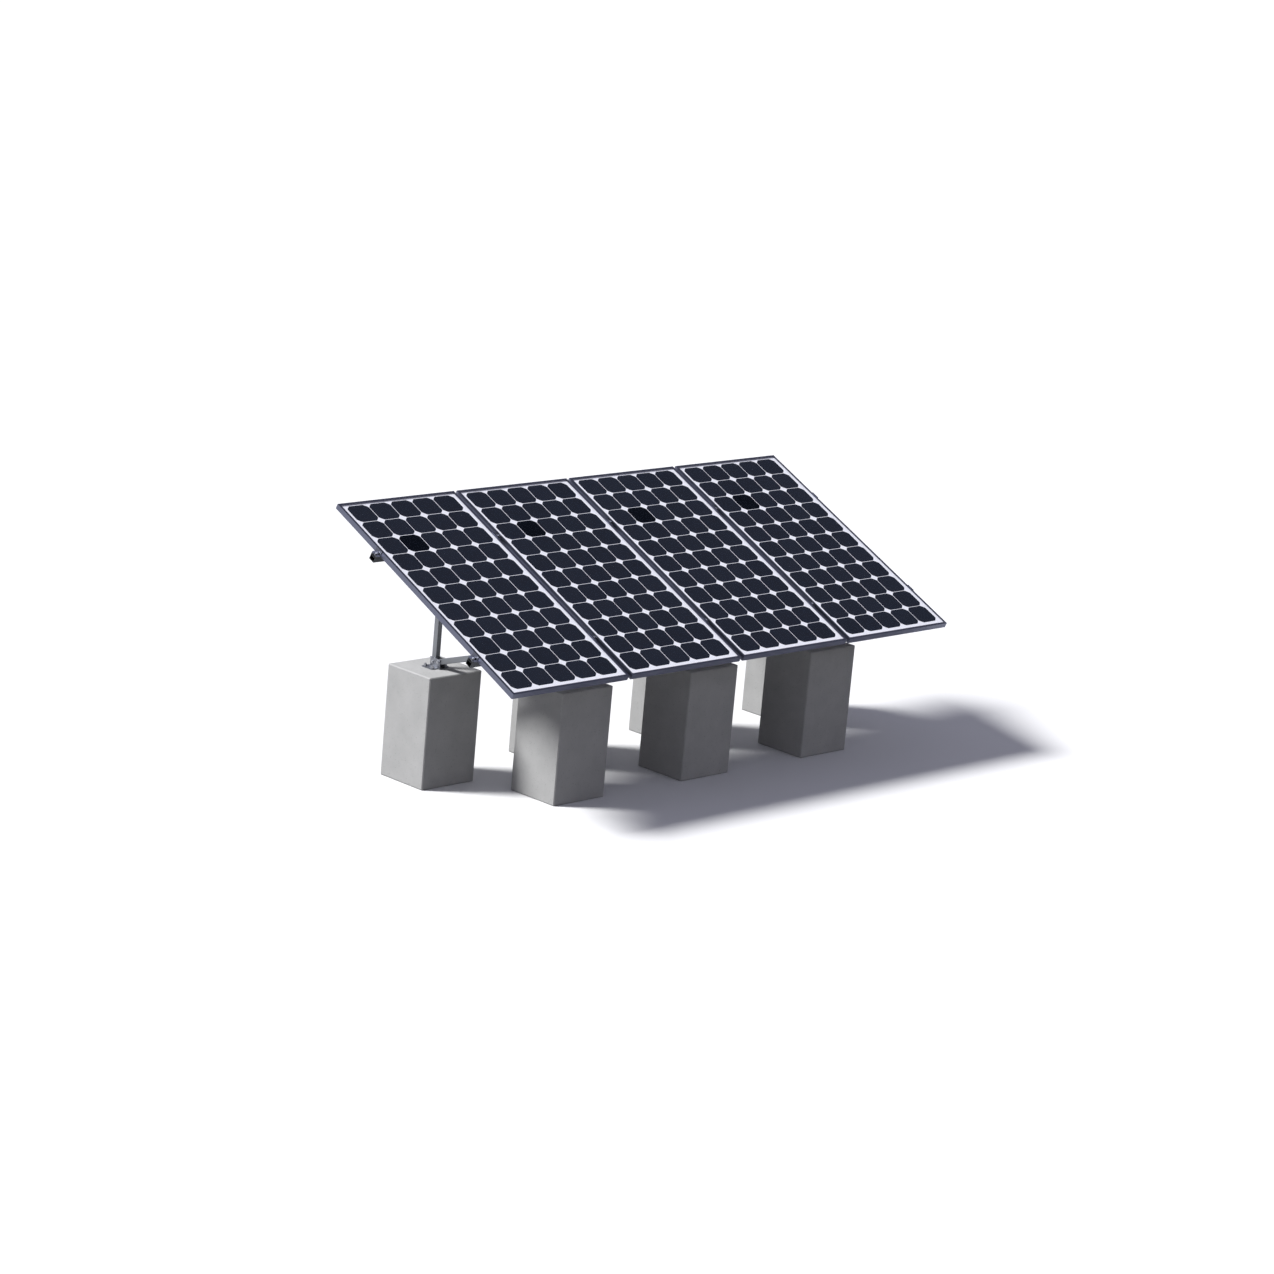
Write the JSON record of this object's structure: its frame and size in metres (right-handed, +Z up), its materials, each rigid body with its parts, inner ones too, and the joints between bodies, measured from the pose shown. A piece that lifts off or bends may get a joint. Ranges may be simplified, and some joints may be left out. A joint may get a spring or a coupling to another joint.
{
  "type": "solar panel ground mount",
  "caption": "Tilted row of framed solar modules clamped to aluminium rails, carried by rafters, square posts and base shoes on staggered concrete blocks.",
  "frame": {"origin": "on the ground under the middle of the row, at the centre of the whole object's footprint", "axes": "+X along the row, +Y back under the slope towards its high edge, +Z up"},
  "size_m": [3.442, 1.4808, 1.4186],
  "materials": {
    "concrete": "cast concrete, matte with fine pores",
    "galvanised": "hot-dip galvanised, dull",
    "post_aluminium": "mill-finish extrusion",
    "rail_aluminium": "mill-finish extrusion",
    "clamp_aluminium": "anodised",
    "zinc": "zinc plated",
    "frame_anodised": "satin anodised",
    "glass": "clear toughened glass",
    "cell": "dark blue-black silicon under glass",
    "backsheet": "white film",
    "junction_box": "moulded",
    "key_aluminium": "plain"
  },
  "bodies": {
    "root": {"block_rear_1": "concrete", "block_rear_2": "concrete", "block_rear_3": "concrete", "block_rear_4": "concrete", "block_front_1": "concrete", "block_front_2": "concrete", "block_front_3": "concrete", "shoe_rear_1": "galvanised", "shoe_rear_2": "galvanised", "shoe_rear_3": "galvanised", "shoe_rear_4": "galvanised", "shoe_front_1": "galvanised", "shoe_front_2": "galvanised", "shoe_front_3": "galvanised", "post_rear_1": "post_aluminium", "post_rear_2": "post_aluminium", "post_rear_3": "post_aluminium", "post_rear_4": "post_aluminium", "post_front_1": "post_aluminium", "post_front_2": "post_aluminium", "post_front_3": "post_aluminium", "rafter_1": "post_aluminium", "rafter_2": "post_aluminium", "rafter_3": "post_aluminium", "rafter_4": "post_aluminium", "front_bearer": "post_aluminium", "foot_ties": "post_aluminium", "rail_lower": "rail_aluminium", "rail_upper": "rail_aluminium", "head_brackets": "galvanised", "front_saddles": "galvanised", "angle_cleats": "galvanised", "mid_clamps": "clamp_aluminium", "end_clamps": "clamp_aluminium", "anchor_bolts": "zinc", "shoe_screws": "zinc", "frame_bolts": "zinc", "clamp_bolts": "zinc", "module_1_sides": "frame_anodised", "module_1_ends": "frame_anodised", "module_1_glass": "glass", "module_1_cells": "cell", "module_1_backsheet": "backsheet", "module_2_sides": "frame_anodised", "module_2_ends": "frame_anodised", "module_2_glass": "glass", "module_2_cells": "cell", "module_2_backsheet": "backsheet", "module_3_sides": "frame_anodised", "module_3_ends": "frame_anodised", "module_3_glass": "glass", "module_3_cells": "cell", "module_3_backsheet": "backsheet", "module_4_sides": "frame_anodised", "module_4_ends": "frame_anodised", "module_4_glass": "glass", "module_4_cells": "cell", "module_4_backsheet": "backsheet", "junction_boxes": "junction_box", "corner_keys": "key_aluminium"}
  },
  "joints": []
}
